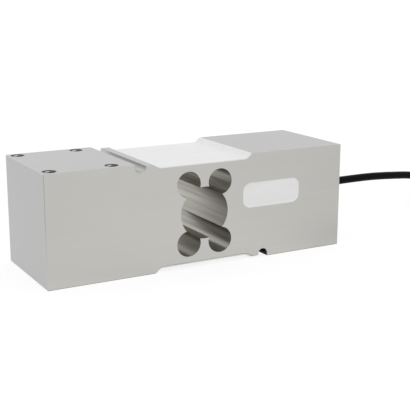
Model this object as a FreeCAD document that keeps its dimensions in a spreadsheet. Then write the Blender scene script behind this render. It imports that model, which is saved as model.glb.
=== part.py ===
"""Single point load cell: a parallelogram spring body with its gauges, electronics pocket and signal cable.

The spring body is one machined aluminium block. Five joined bores leave four thin walls, two above and two
below, and a strain gauge is bonded over each of them, in a shallow relief that runs across the block. The
load pad is on top at the left end and the fixed pad is below at the right end: the block is the same when it
is turned by half a turn about the Y axis, apart from its pocket and cable bore.

Frame: the origin is at the bottom centre of the spring body, +X points to the cable's end, -Y to the face
with the pocket, and +Z up. Millimetres and degrees.
"""

import FreeCAD
import Part

import math
import os
import re

import Sketcher

Vector = FreeCAD.Vector

SIZES = {
    # Spring body
    "block_length": 191.0,
    "block_width": 63.5,
    "block_height": 63.5,
    "edge_break": 0.3,
    # Mounting pad, the groove that frees it, and the land beside the groove
    "pad_length": 52.4,
    "groove_width": 6.35,
    "groove_depth": 4.75,
    "land_length": 4.54,
    "land_drop": 1.1,
    "land_slope_angle": 30.0,
    # Gauge relief
    "relief_depth": 3.3,
    "far_slope_angle": 45.0,
    "relief_fillet_radius": 5.0,
    # Five bores that join into one cavity
    "centre_bore_radius": 15.25,
    "corner_bore_radius": 7.6,
    "corner_bore_offset_x": 10.15,
    "corner_bore_offset_z": 17.25,
    # Tapped mounting holes, four in each pad
    "hole_spacing_x": 35.5,
    "hole_end_distance": 5.3,
    "hole_side_distance": 5.75,
    "hole_diameter": 6.8,
    "hole_mouth_diameter": 7.8,
    "hole_depth": 20.0,
    # Electronics pocket, its place counted from the block's centre
    "pocket_length": 39.35,
    "pocket_height": 15.0,
    "pocket_depth": 16.0,
    "pocket_corner_radius": 5.0,
    "pocket_centre_x": 45.4,
    "pocket_centre_z": 6.85,
    # Cable bore and the passages between the reliefs and the pocket
    "cable_bore_radius": 3.0,
    "cable_bore_setback": 8.0,
    "passage_radius": 1.5,
    "passage_mouth_setback": 5.9,
    "passage_inset": 4.5,
    # Silicone
    "sealant_thickness": 0.7,
    "pocket_sealant_recess": 0.25,
    # Strain gauges and solder strips
    "gauge_length": 9.0,
    "gauge_width": 6.0,
    "gauge_thickness": 0.12,
    "strip_length": 10.0,
    "strip_width": 3.6,
    "strip_thickness": 0.3,
    "gauge_lead_width": 0.3,
    "gauge_lead_pitch": 2.4,
    "signal_wire_diameter": 0.5,
    "signal_wire_height": 0.33,
    "signal_wire_pitch": 0.8,
    "signal_wire_run": 3.0,
    "signal_wire_reach": 3.2,
    # Circuit board in the pocket
    "board_margin_x": 2.5,
    "board_margin_z": 2.0,
    "board_thickness": 1.0,
    "board_pad_margin": 2.0,
    "board_pad_thickness": 1.0,
    "resistor_length": 6.0,
    "resistor_width": 2.8,
    "resistor_thickness": 1.8,
    "resistor_inset": 5.8,
    "resistor_spread": 2.9,
    "temperature_resistor_length": 2.5,
    "temperature_resistor_width": 5.0,
    "temperature_resistor_thickness": 1.2,
    "resistor_gap": 0.7,
    # Cable
    "cable_diameter": 4.8,
    "entry_seal_length": 10.0,
    "jacket_reach": 5.0,
    "ferrule_length": 3.4,
    "ferrule_wall": 0.8,
    "ferrule_gap": 0.8,
    "core_diameter": 1.1,
    "core_pitch": 2.0,
    "core_clearance": 1.6,
    "drain_diameter": 0.7,
    # Coil of the stored length
    "coil_distance": 152.5,
    "coil_offset_y": -3.35,
    "coil_mean_radius": 28.5,
    "coil_bundle": 4.0,
    "tie_thickness": 1.0,
    "tie_width": 2.6,
    "tie_head": 4.2,
    # Stripped end of the cable, which lies on the coil
    "tail_angle": 50.0,
    "tail_start_angle": 42.0,
    "sleeve_wall": 0.4,
    "sleeve_angle": 30.0,
    "sleeve_overhang_angle": 6.0,
    "lead_spread": 2.0,
    "lead_angle": 62.0,
    "tip_angle": 12.0,
    "tip_diameter": 0.8,
}

# The cable's free run: X from the end face, Y from the bore's axis, Z above the floor, or None on the axis.
CABLE_ROUTE = [
    (0.0, 0.0, None),
    (16.5, 0.0, None),
    (33.5, 0.0, 38.75),
    (50.5, -0.1, 37.4),
    (65.5, -0.3, 35.8),
    (80.5, -0.8, 31.6),
    (94.5, -1.5, 23.6),
    (106.5, -2.2, 14.0),
    (118.5, -2.8, 6.8),
    (130.5, -3.3, 3.6),
    (140.5, -3.35, 3.4),
]

TIE_ANGLES = (-25, 185)  # about the coil's centre, from +X

document = FreeCAD.newDocument("load_cell")
sheet = document.addObject("Spreadsheet::Sheet", "sizes")


def fill_sheet():
    """One row for each driving dimension: its name and its value, which carries the name as its alias."""
    for row, (name, size) in enumerate(SIZES.items(), start=1):
        sheet.set(f"A{row}", name)
        sheet.set(f"B{row}", str(size))
        sheet.setAlias(f"B{row}", name)
    document.recompute()


def bound(formula):
    """The formula with each size's name pointing at its cell."""
    return re.sub(r"[a-z_]+", lambda word: f"sizes.{word[0]}" if word[0] in SIZES else word[0], formula)


def number(formula):
    """What the formula comes to with the sheet's present values."""
    return float(getattr(result := sheet.evalExpression(bound(formula)), "Value", result))


def bind(thing, **formulas):
    """Ties properties to formulas; a double underscore in a name stands for a dot."""
    for name, formula in formulas.items():
        thing.setExpression(name.replace("__", "."), bound(formula))


# Drawing


def origin_feature(body, role):
    """One of the body's own origin planes or axes."""
    return next(feature for feature in body.Origin.OriginFeatures if feature.Role == role)


def sketch_on(body, name, role, offset="0"):
    """A sketch on an origin plane of its body, moved by the offset along the plane's normal."""
    sketch = body.newObject("Sketcher::SketchObject", name)
    sketch.AttachmentSupport = [(origin_feature(body, role), "")]
    sketch.MapMode = "FlatFace"
    bind(sketch, AttachmentOffset__Base__z=offset)
    return sketch


def tie(sketch, name, constraint, formula):
    """Adds a named constraint and ties it to its formula."""
    sketch.renameConstraint(sketch.addConstraint(constraint), name)
    bind(sketch, **{f"Constraints__{name}": formula})


def tie_point(sketch, name, geometry, point, x, y):
    """Ties a point of the sketch to formulas counted from the sketch's origin."""
    for kind, formula in (("DistanceX", x), ("DistanceY", y)):
        constraint = Sketcher.Constraint(kind, -1, 1, geometry, point, number(formula))
        tie(sketch, f"{name}_{kind[-1].lower()}", constraint, formula)


def draw_outline(sketch, corners, arcs=()):
    """A closed outline, anticlockwise. corners holds (x, y) formulas. arcs maps the number of a corner to
    the (x, y) formulas of the centre of the arc that starts there; the other sides are straight."""
    places = [Vector(number(x), number(y), 0) for x, y in corners]
    for side, start in enumerate(places):
        end = places[(side + 1) % len(places)]
        if side in arcs:
            centre = Vector(*(number(formula) for formula in arcs[side]), 0)
            circle = Part.Circle(centre, Vector(0, 0, 1), (start - centre).Length)
            angles = [math.atan2(*(point - centre)[1::-1]) for point in (start, end)]
            sketch.addGeometry(Part.ArcOfCircle(circle, *angles), False)
        else:
            sketch.addGeometry(Part.LineSegment(start, end), False)
    for side, (x, y) in enumerate(corners):
        before = (side - 1) % len(corners)
        sketch.addConstraint(Sketcher.Constraint("Coincident", before, 2, side, 1))
        tie_point(sketch, f"corner_{side}", side, 1, x, y)
    for side, (x, y) in dict(arcs).items():
        constraint = Sketcher.Constraint("DistanceY", -1, 1, side, 3, number(y))
        tie(sketch, f"centre_{side}_y", constraint, y)


def draw_circle(sketch, name, x, y, radius):
    """A circle with its centre and radius tied to formulas."""
    circle = Part.Circle(Vector(number(x), number(y), 0), Vector(0, 0, 1), number(radius))
    geometry = sketch.addGeometry(circle, False)
    tie_point(sketch, name, geometry, 3, x, y)
    tie(sketch, f"{name}_radius", Sketcher.Constraint("Radius", geometry, number(radius)), radius)


def draw_rounded_rectangle(sketch, name, centre, size, radius):
    """A rectangle with round corners: formulas for its centre, its two sides and its corners' radius."""
    middle = [number(formula) for formula in centre]
    half = [number(formula) / 2 for formula in size]
    r = number(radius)
    first = sketch.GeometryCount
    for corner, (sx, sy) in enumerate(((1, -1), (1, 1), (-1, 1), (-1, -1))):
        round_centre = Vector(middle[0] + sx * (half[0] - r), middle[1] + sy * (half[1] - r), 0)
        turn = math.radians(90 * corner - 90)
        circle = Part.Circle(round_centre, Vector(0, 0, 1), r)
        sketch.addGeometry(Part.ArcOfCircle(circle, turn, turn + math.pi / 2), False)
        tie_point(
            sketch, f"{name}_{corner}", first + corner, 3,
            f"{centre[0]} + ({sx}) * (({size[0]}) / 2 - ({radius}))",
            f"{centre[1]} + ({sy}) * (({size[1]}) / 2 - ({radius}))",
        )
        tie(sketch, f"{name}_{corner}_radius", Sketcher.Constraint("Radius", first + corner, r), radius)
    for corner in range(4):
        arc, following = first + corner, first + (corner + 1) % 4
        ends = sketch.Geometry[arc].EndPoint, sketch.Geometry[following].StartPoint
        side = sketch.addGeometry(Part.LineSegment(*ends), False)
        sketch.addConstraint(Sketcher.Constraint("Tangent", arc, 2, side, 1))
        sketch.addConstraint(Sketcher.Constraint("Tangent", side, 2, following, 1))


# Features and plain pieces


def new_body(name):
    return document.addObject("PartDesign::Body", name)


def extrude(body, kind, name, sketch, length=None):
    """A Pad or Pocket: to both sides of the sketch by half its length, or, for a Pocket with no length,
    through everything both ways."""
    feature = body.newObject(f"PartDesign::{kind}", name)
    feature.Profile = sketch
    feature.SideType = "Symmetric"
    if length is None:
        feature.Type = "ThroughAll"
    else:
        bind(feature, Length=length)
    return feature


def pocket_inwards(body, name, sketch, depth):
    """A Pocket of one depth, away from the side that its sketch faces."""
    feature = body.newObject("PartDesign::Pocket", name)
    feature.Profile = sketch
    bind(feature, Length=depth)
    return feature


def plate(name, corner, sides):
    """A rectangular piece: formulas for its low corner and for its sides along X, Y and Z."""
    piece = document.addObject("Part::Box", name)
    bind(piece, Length=sides[0], Width=sides[1], Height=sides[2])
    bind(piece, Placement__Base__x=corner[0], Placement__Base__y=corner[1], Placement__Base__z=corner[2])
    return piece


def cut(name, base, tools):
    """The base without the space that the tools take."""
    tool = tools[0]
    if len(tools) > 1:
        tool = document.addObject("Part::MultiFuse", f"{name}_inside")
        tool.Shapes = tools
    piece = document.addObject("Part::Cut", name)
    piece.Base, piece.Tool = base, tool
    return piece


def rounded_path(points):
    """Straight runs joined by tangent arcs, each as large as its two runs allow, and the arcs' radii."""
    edges, radii, last = [], [], points[0]
    for before, corner, after in zip(points, points[1:], points[2:]):
        inwards, outwards = corner - before, after - corner
        shorter = min(inwards.Length, outwards.Length)
        inwards.normalize()
        outwards.normalize()
        half_turn = inwards.getAngle(outwards) / 2
        radius = 0.45 * shorter / math.tan(half_turn)
        cut_back = radius * math.tan(half_turn)
        start, end = corner - inwards * cut_back, corner + outwards * cut_back
        to_centre = (outwards - inwards).normalize()
        middle = corner + to_centre * (radius / math.cos(half_turn) - radius)
        edges += [Part.LineSegment(last, start).toShape(), Part.Arc(start, middle, end).toShape()]
        radii.append(radius)
        last = end
    edges.append(Part.LineSegment(last, points[-1]).toShape())
    return Part.Wire(edges), radii


SMOOTH, MITRED = 0, 1  # how a tube takes the corners of its path


def tube(path, diameter, corners=SMOOTH):
    """A round solid along a path."""
    start, direction = path.Edges[0].valueAt(path.Edges[0].FirstParameter), path.Edges[0].tangentAt(0)
    section = Part.Wire(Part.Circle(start, direction, diameter / 2).toShape())
    solid = path.makePipeShell([section], True, False, corners)
    expected = math.pi * diameter**2 / 4 * path.Length
    if abs(solid.Volume / expected - 1) > 0.005:
        raise ValueError(f"a tube of {expected:.1f} cubic mm came out with {solid.Volume:.1f}")
    return solid


def feature_with(name, shape):
    """A plain feature that holds one shape."""
    feature = document.addObject("Part::Feature", name)
    feature.Shape = shape
    return feature


def wires(name, routes, diameter):
    """One feature with a round wire along each route, bent sharply at the route's points."""
    solids = [tube(Part.makePolygon(route), diameter, MITRED) for route in routes]
    return feature_with(name, solids[0] if len(solids) == 1 else Part.makeCompound(solids))


# Spring body. Its sketches count from the block's centre, with X and Z as they are.

HALF_TOP = "block_height / 2"
GROOVE_LEFT = "-block_length / 2 + pad_length"
GROOVE_RIGHT = f"{GROOVE_LEFT} + groove_width"
GROOVE_ROUND = f"{HALF_TOP} - groove_depth + groove_width / 2"
LAND_LEVEL = f"{HALF_TOP} - land_drop"
RELIEF_LEVEL = f"{HALF_TOP} - relief_depth"
LAND_EDGE = f"{GROOVE_RIGHT} + land_length"
FLAT_LEFT = f"({LAND_EDGE} + (relief_depth - land_drop) / tan(land_slope_angle))"
FLAT_RIGHT = f"(-{FLAT_LEFT})"
FAR_EDGE = f"{FLAT_RIGHT} + relief_depth / tan(far_slope_angle)"
POCKET_LEFT = "(pocket_centre_x - pocket_length / 2)"
POCKET_RIGHT = "(pocket_centre_x + pocket_length / 2)"
BORE_Y = "(-block_width / 2 + cable_bore_setback)"
PASSAGE_END_X = f"({POCKET_LEFT} + passage_inset)"
PASSAGE_MOUTH_X = f"({FLAT_RIGHT} - passage_mouth_setback)"


def draw_pocket_outline(sketch):
    """The outline that the pocket and the silicone in it share."""
    draw_rounded_rectangle(
        sketch, "pocket", ("pocket_centre_x", "pocket_centre_z"),
        ("pocket_length", "pocket_height"), "pocket_corner_radius",
    )


def outer_faces(shape):
    """The front, back, left and right faces: the largest flat one each way."""
    flat = [face for face in shape.Faces if face.Surface.TypeId == "Part::GeomPlane"]
    for direction in (Vector(0, 1, 0), Vector(0, -1, 0), Vector(1, 0, 0), Vector(-1, 0, 0)):
        facing = [face for face in flat if face.normalAt(0, 0).dot(direction) > 0.999]
        furthest = max(face.CenterOfMass.dot(direction) for face in facing)
        yield max(
            (face for face in facing if face.CenterOfMass.dot(direction) > furthest - 0.01),
            key=lambda face: face.Area,
        )


def edge_names(shape, wanted):
    """The names of the edges that the test picks."""
    names = [f"Edge{i}" for i, edge in enumerate(shape.Edges, start=1) if wanted(edge)]
    if not names:
        raise ValueError("no edge was found for a fillet or chamfer")
    return names


def round_edges(body, name, places, radius):
    """Rounds the edges along Y at (x, z) formulas of the section, and where half a turn brings them."""
    corners = [(sign * number(x), sign * number(z)) for x, z in places for sign in (1, -1)]

    def wanted(edge):
        if not isinstance(edge.Curve, Part.Line) or abs(edge.Curve.Direction.y) < 0.999:
            return False
        middle = edge.CenterOfMass
        return any(math.hypot(middle.x - x, middle.z - z) < 1e-4 for x, z in corners)

    base = body.Tip
    fillet = body.newObject("PartDesign::Fillet", name)
    fillet.Base = (base, edge_names(base.Shape, wanted))
    bind(fillet, Radius=radius)
    document.recompute()
    return fillet


def add_mounting_holes(body):
    """Four tapped holes in the load pad, at the tap drill's size with a countersunk mouth."""
    sketch = sketch_on(body, "hole_centres", "XY_Plane", HALF_TOP)
    for column in range(2):
        for row in (-1, 1):
            draw_circle(
                sketch, f"hole_{column}_{row + 1}",
                f"-block_length / 2 + hole_end_distance + {column} * hole_spacing_x",
                f"({row}) * (block_width / 2 - hole_side_distance)", "hole_diameter / 2",
            )
    document.recompute()
    holes = body.newObject("PartDesign::Hole", "mounting_holes")
    holes.Profile = sketch
    document.recompute()
    holes.ThreadType = "None"
    holes.DepthType = "Dimension"
    holes.DrillPoint = "Angled"
    holes.HoleCutType = "Countersink"
    holes.HoleCutCustomValues = True
    holes.HoleCutCountersinkAngle = 90
    bind(holes, Diameter="hole_diameter", Depth="hole_depth", HoleCutDiameter="hole_mouth_diameter")
    return holes


def add_wire_passage(body, side, relief_level, wall_level):
    """A drilled passage that slants from a relief's floor to the pocket, a little past both."""
    overshoot = 2
    passage = body.newObject("PartDesign::SubtractiveCylinder", f"{side}_wire_passage")
    run, rise = f"({PASSAGE_END_X} - {PASSAGE_MOUTH_X})", f"(({relief_level}) - ({wall_level}))"
    long = f"sqrt({run} ^ 2 + {rise} ^ 2)"
    passage.Placement = FreeCAD.Placement(Vector(), FreeCAD.Rotation(Vector(0, -1, 0), 45))
    bind(
        passage,
        Radius="passage_radius",
        Height=f"{long} + {2 * overshoot}",
        Placement__Rotation__Angle=f"atan2({run}; {rise})",
        Placement__Base__x=f"{PASSAGE_END_X} + {overshoot} * {run} / {long}",
        Placement__Base__y=BORE_Y,
        Placement__Base__z=f"{wall_level} - {overshoot} * {rise} / {long}",
    )


def make_spring_body():
    """The machined block: reliefs and holes at both pads, then the cavity, the pocket and the bores."""
    body = new_body("load_cell_body")
    bind(body, Placement__Base__z="block_height / 2")

    sketch = sketch_on(body, "block_outline", "XZ_Plane")
    left, right, top = "-block_length / 2", "block_length / 2", HALF_TOP
    draw_outline(sketch, [(left, f"-{top}"), (right, f"-{top}"), (right, top), (left, top)])
    extrude(body, "Pad", "block", sketch, "block_width")

    groove_middle = f"{GROOVE_LEFT} + groove_width / 2"
    sketch = sketch_on(body, "relief_outline", "XZ_Plane")
    draw_outline(
        sketch,
        [
            (groove_middle, top),
            (groove_middle, LAND_LEVEL),
            (LAND_EDGE, LAND_LEVEL),
            (FLAT_LEFT, RELIEF_LEVEL),
            (FLAT_RIGHT, RELIEF_LEVEL),
            (FAR_EDGE, top),
        ],
    )
    relief = extrude(body, "Pocket", "gauge_relief", sketch)
    sketch = sketch_on(body, "groove_outline", "XZ_Plane")
    draw_outline(
        sketch,
        [(GROOVE_LEFT, top), (GROOVE_LEFT, GROOVE_ROUND), (GROOVE_RIGHT, GROOVE_ROUND), (GROOVE_RIGHT, top)],
        {1: (groove_middle, GROOVE_ROUND)},
    )
    groove = extrude(body, "Pocket", "pad_groove", sketch)
    holes = add_mounting_holes(body)

    both = body.newObject("PartDesign::PolarPattern", "both_ends")
    both.Originals = [relief, groove, holes]
    both.Axis = (origin_feature(body, "Y_Axis"), [""])
    both.Angle = 360
    both.Occurrences = 2
    body.Tip = both

    sketch = sketch_on(body, "centre_bore_circle", "XZ_Plane")
    draw_circle(sketch, "centre", "0", "0", "centre_bore_radius")
    extrude(body, "Pocket", "centre_bore", sketch)
    sketch = sketch_on(body, "corner_bore_circles", "XZ_Plane")
    for sx in (-1, 1):
        for sz in (-1, 1):
            x, z = f"({sx}) * corner_bore_offset_x", f"({sz}) * corner_bore_offset_z"
            draw_circle(sketch, f"corner_{sx + 1}_{sz + 1}", x, z, "corner_bore_radius")
    extrude(body, "Pocket", "corner_bores", sketch)

    sketch = sketch_on(body, "pocket_outline", "XZ_Plane", "block_width / 2")
    draw_pocket_outline(sketch)
    pocket_inwards(body, "electronics_pocket", sketch, "pocket_depth")
    sketch = sketch_on(body, "cable_bore_circle", "YZ_Plane", "block_length / 2")
    draw_circle(sketch, "bore", BORE_Y, "pocket_centre_z", "cable_bore_radius")
    pocket_inwards(body, "cable_bore", sketch, f"block_length / 2 - {POCKET_RIGHT} + 1")
    add_wire_passage(body, "upper", RELIEF_LEVEL, "pocket_centre_z + pocket_height / 2")
    add_wire_passage(body, "lower", f"-({RELIEF_LEVEL})", "pocket_centre_z - pocket_height / 2")
    document.recompute()

    ends = [(FLAT_LEFT, RELIEF_LEVEL), (FLAT_RIGHT, RELIEF_LEVEL)]
    fillet = round_edges(body, "relief_fillets", ends, "relief_fillet_radius")
    rims = {edge.hashCode() for face in outer_faces(fillet.Shape) for edge in face.OuterWire.Edges}
    chamfer = body.newObject("PartDesign::Chamfer", "edge_breaks")
    chamfer.Base = (fillet, edge_names(fillet.Shape, lambda edge: edge.hashCode() in rims))
    bind(chamfer, Size="edge_break")
    return body


# Gauges and silicone in a relief. out is +1 for the upper relief and -1 for the lower one.


def relief_surface(out):
    """The height of a relief's floor above the block's base."""
    return "(block_height - relief_depth)" if out > 0 else "relief_depth"


def low_corner_z(out, thickness):
    """Where a flat piece that lies on a relief's floor has its low side."""
    return relief_surface(out) if out > 0 else f"{relief_surface(out)} - {thickness}"


def make_gauges(side, out):
    """The two gauges of a relief, each over a corner bore."""
    return [
        plate(
            f"{side}_{end}_end_gauge",
            (
                f"({along}) * corner_bore_offset_x - gauge_length / 2",
                "-gauge_width / 2",
                low_corner_z(out, "gauge_thickness"),
            ),
            ("gauge_length", "gauge_width", "gauge_thickness"),
        )
        for end, along in (("load", -1), ("fixed", 1))
    ]


def make_terminal_strip(side, out):
    """The solder strip between the two gauges."""
    return plate(
        f"{side}_terminal_strip",
        ("-strip_width / 2", "-strip_length / 2", low_corner_z(out, "strip_thickness")),
        ("strip_width", "strip_length", "strip_thickness"),
    )


def make_gauge_leads(side, out):
    """Two flat leads from each gauge's inner end to the strip."""
    gap = "(corner_bore_offset_x - gauge_length / 2 - strip_width / 2)"
    leads = []
    for end, left in (("load", f"-strip_width / 2 - {gap}"), ("fixed", "strip_width / 2")):
        for place in (-1, 1):
            middle = f"({place}) * gauge_lead_pitch / 2"
            leads.append(plate(
                f"{side}_{end}_end_lead_{place + 1}",
                (left, f"{middle} - gauge_lead_width / 2", low_corner_z(out, "gauge_thickness")),
                (gap, "gauge_lead_width", "gauge_thickness"),
            ))
    together = document.addObject("Part::Compound", f"{side}_gauge_leads")
    together.Links = leads
    return together


def make_signal_wires(side, out):
    """Three wires from the strip along the relief, down the passage and back to the board in the pocket."""
    surface = number(relief_surface(out))
    wall = number(f"block_height / 2 + pocket_centre_z + ({out}) * pocket_height / 2")
    slope = (number(PASSAGE_END_X) - number(PASSAGE_MOUTH_X)) / (surface - wall)
    height, reach = out * number("signal_wire_height"), out * number("signal_wire_reach")
    strip_y, bore_y, board_y = number("-strip_length / 2"), number(BORE_Y), number(BOARD_FRONT)
    routes = []
    for place in (-1, 0, 1):
        shift = place * number("signal_wire_pitch")
        lane_y = strip_y - number("signal_wire_run") + shift
        mouth_x = number(PASSAGE_MOUTH_X) + shift - slope * height
        end_x = number(PASSAGE_MOUTH_X) + shift + slope * (surface - wall + reach)
        routes.append([
            Vector(shift, strip_y, surface + height),
            Vector(shift, lane_y, surface + height),
            Vector(mouth_x, lane_y, surface + height),
            Vector(mouth_x, bore_y, surface + height),
            Vector(end_x, bore_y, wall - reach),
            Vector(end_x, board_y, wall - reach),
        ])
    return wires(f"{side}_signal_wires", routes, number("signal_wire_diameter"))


def make_gauge_sealant(side, out, covered):
    """Silicone of one thickness over the relief's floor and both its slopes, from one side of the block to
    the other, with the gauges and wires in it. The lower one is the upper one after half a turn about Y."""
    layer = new_body(f"{side}_sealant_layer")
    if out < 0:
        layer.Placement = FreeCAD.Placement(Vector(), FreeCAD.Rotation(Vector(0, 1, 0), 180))
    bind(layer, Placement__Base__z="block_height / 2")
    top, thick = HALF_TOP, "sealant_thickness"
    sketch = sketch_on(layer, f"{side}_sealant_outline", "XZ_Plane")
    draw_outline(
        sketch,
        [
            (LAND_EDGE, LAND_LEVEL),
            (FLAT_LEFT, RELIEF_LEVEL),
            (FLAT_RIGHT, RELIEF_LEVEL),
            (FAR_EDGE, top),
            (f"{FAR_EDGE} - {thick} / sin(far_slope_angle)", top),
            (f"{FLAT_RIGHT} - {thick} * tan(far_slope_angle / 2)", f"{RELIEF_LEVEL} + {thick}"),
            (f"{FLAT_LEFT} + {thick} * tan(land_slope_angle / 2)", f"{RELIEF_LEVEL} + {thick}"),
            (f"{LAND_EDGE} + {thick} / sin(land_slope_angle)", LAND_LEVEL),
        ],
    )
    extrude(layer, "Pad", f"{side}_sealant_pad", sketch, "block_width - 2 * edge_break")
    document.recompute()
    for name, rise in (("under", "0"), ("over", thick)):
        places = [
            (f"{FLAT_LEFT} + {rise} * tan(land_slope_angle / 2)", f"{RELIEF_LEVEL} + {rise}"),
            (f"{FLAT_RIGHT} - {rise} * tan(far_slope_angle / 2)", f"{RELIEF_LEVEL} + {rise}"),
        ]
        round_edges(layer, f"{side}_sealant_{name}_fillets", places, f"relief_fillet_radius - {rise}")
    return cut(f"{side}_gauge_sealant", layer, covered)


# Pocket

BOARD_FRONT = "(-block_width / 2 + pocket_depth - board_pad_thickness - board_thickness)"
BOARD_LEFT = f"({POCKET_LEFT} + board_margin_x)"
BOARD_LOW = "(block_height / 2 + pocket_centre_z - pocket_height / 2 + board_margin_z)"
BOARD_LENGTH = "(pocket_length - 2 * board_margin_x)"
BOARD_HEIGHT = "(pocket_height - 2 * board_margin_z)"
CABLE_Z = "(block_height / 2 + pocket_centre_z)"
JACKET_END = f"({POCKET_RIGHT} - jacket_reach)"
RESISTOR_LEFT = f"({BOARD_LEFT} + resistor_inset)"
TEMPERATURE_LEFT = f"({RESISTOR_LEFT} + resistor_length + resistor_gap)"


def make_board():
    """The circuit board, the pad that holds it to the pocket's floor, and its compensation resistors."""
    on_board, half_width = f"{BOARD_FRONT} - resistor_thickness", "resistor_width / 2"
    return [
        plate("junction_board", (BOARD_LEFT, BOARD_FRONT, BOARD_LOW),
              (BOARD_LENGTH, "board_thickness", BOARD_HEIGHT)),
        plate("board_adhesive_pad",
              (f"{BOARD_LEFT} + board_pad_margin", f"{BOARD_FRONT} + board_thickness",
               f"{BOARD_LOW} + board_pad_margin"),
              (f"{BOARD_LENGTH} - 2 * board_pad_margin", "board_pad_thickness",
               f"{BOARD_HEIGHT} - 2 * board_pad_margin")),
        plate("zero_balance_resistor",
              (RESISTOR_LEFT, on_board, f"{CABLE_Z} + resistor_spread - {half_width}"),
              ("resistor_length", "resistor_thickness", "resistor_width")),
        plate("span_resistor",
              (RESISTOR_LEFT, on_board, f"{CABLE_Z} - resistor_spread - {half_width}"),
              ("resistor_length", "resistor_thickness", "resistor_width")),
        plate("temperature_resistor",
              (TEMPERATURE_LEFT, f"{BOARD_FRONT} - temperature_resistor_thickness",
               f"{CABLE_Z} - temperature_resistor_width / 2"),
              ("temperature_resistor_length", "temperature_resistor_thickness",
               "temperature_resistor_width")),
    ]


def round_along_x(name, start_x, length, radius, inner_radius=None):
    """A rod on the cable bore's axis, or a ring where it has an inner radius."""
    body = new_body(name)
    bind(body, Placement__Base__x=start_x, Placement__Base__y=BORE_Y, Placement__Base__z=CABLE_Z)
    sketch = sketch_on(body, f"{name}_section", "YZ_Plane")
    draw_circle(sketch, "outside", "0", "0", radius)
    if inner_radius:
        draw_circle(sketch, "inside", "0", "0", inner_radius)
    pad = body.newObject("PartDesign::Pad", f"{name}_length")
    pad.Profile = sketch
    bind(pad, Length=length)
    return body


def make_cable_entry():
    """The jacket in its bore, the silicone ring at the bore's mouth and the ferrule that holds the jacket."""
    radius = "cable_diameter / 2"
    return [
        round_along_x("cable_entry_jacket", JACKET_END, f"block_length / 2 - {JACKET_END}", radius),
        round_along_x("cable_entry_seal", "block_length / 2 - entry_seal_length", "entry_seal_length",
                      "cable_bore_radius", radius),
        round_along_x("cable_anchor_ferrule", f"{JACKET_END} + ferrule_gap", "ferrule_length",
                      f"{radius} + ferrule_wall", radius),
    ]


CORES = {"red": (1, 1), "black": (-1, 1), "green": (1, -1), "white": (-1, -1)}  # place in the cable: Y, Z


def make_cores():
    """Four cores and the shield's drain wire, which end on the board one after another."""
    start_x, y, z = number(JACKET_END), number(BORE_Y), number(CABLE_Z)
    board_y, half_pitch = number(BOARD_FRONT), number("core_pitch / 2")
    nearest = start_x - 2 * number("core_clearance")
    furthest = number(f"{TEMPERATURE_LEFT} + temperature_resistor_length + core_clearance")
    step = (nearest - furthest) / 4
    pieces = []
    for turn, (colour, (dy, dz)) in enumerate(sorted(CORES.items(), key=lambda core: -core[1][0])):
        at = y + dy * half_pitch, z + dz * half_pitch
        end_x = nearest - turn * step
        route = [Vector(start_x, *at), Vector(end_x, *at), Vector(end_x, board_y, at[1])]
        pieces.append(wires(f"{colour}_core", [route], number("core_diameter")))
    route = [Vector(start_x, y, z), Vector(furthest, y, z), Vector(furthest, board_y, z)]
    pieces.append(wires("shield_drain", [route], number("drain_diameter")))
    return pieces


def make_pocket_sealant(covered):
    """Silicone that fills the pocket to just below the front face, with all that the pocket holds in it."""
    fill = new_body("pocket_fill")
    bind(fill, Placement__Base__z="block_height / 2")
    sketch = sketch_on(fill, "pocket_fill_outline", "XZ_Plane", "block_width / 2 - pocket_sealant_recess")
    draw_pocket_outline(sketch)
    pad = fill.newObject("PartDesign::Pad", "pocket_fill_depth")
    pad.Profile = sketch
    pad.Reversed = True
    bind(pad, Length="pocket_depth - pocket_sealant_recess")
    return cut("pocket_sealant", fill, covered)


# Cable outside the body, and its coil. The coil lies on its ties, turned anticlockwise as seen from above.

COIL_X = "(block_length / 2 + coil_distance)"
COIL_Y = f"({BORE_Y} + coil_offset_y + coil_mean_radius + (coil_bundle - 1) * cable_diameter / 2)"
BUNDLE = "(coil_bundle * cable_diameter)"
COIL_TOP = f"(tie_thickness + {BUNDLE})"


BUNDLE_Z = f"(tie_thickness + {BUNDLE} / 2)"


def around_bundle(gap):
    """The eight corners of an outline round the bundle's turns, off them by the gap."""
    half = f"({BUNDLE} / 2 + {gap})"
    flat = f"({half} - (cable_diameter / 2 + {gap}) * (2 - sqrt(2)))"
    corners = [(half, f"-{flat}"), (half, flat), (flat, half), (f"-{flat}", half),
               (f"-{half}", flat), (f"-{half}", f"-{flat}"), (f"-{flat}", f"-{half}"), (flat, f"-{half}")]
    return [(f"coil_mean_radius + ({x})", f"{BUNDLE_Z} + ({z})") for x, z in corners]


def make_coil():
    """The wound length as one ring, with a section that the turns fill side by side."""
    coil = new_body("cable_coil")
    bind(coil, Placement__Base__x=COIL_X, Placement__Base__y=COIL_Y)
    sketch = sketch_on(coil, "coil_section", "XZ_Plane")
    draw_outline(sketch, around_bundle("0"))
    ring = coil.newObject("PartDesign::Revolution", "coil_ring")
    ring.Profile = sketch
    ring.ReferenceAxis = (origin_feature(coil, "Z_Axis"), [""])
    ring.Angle = 360
    return coil


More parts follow.
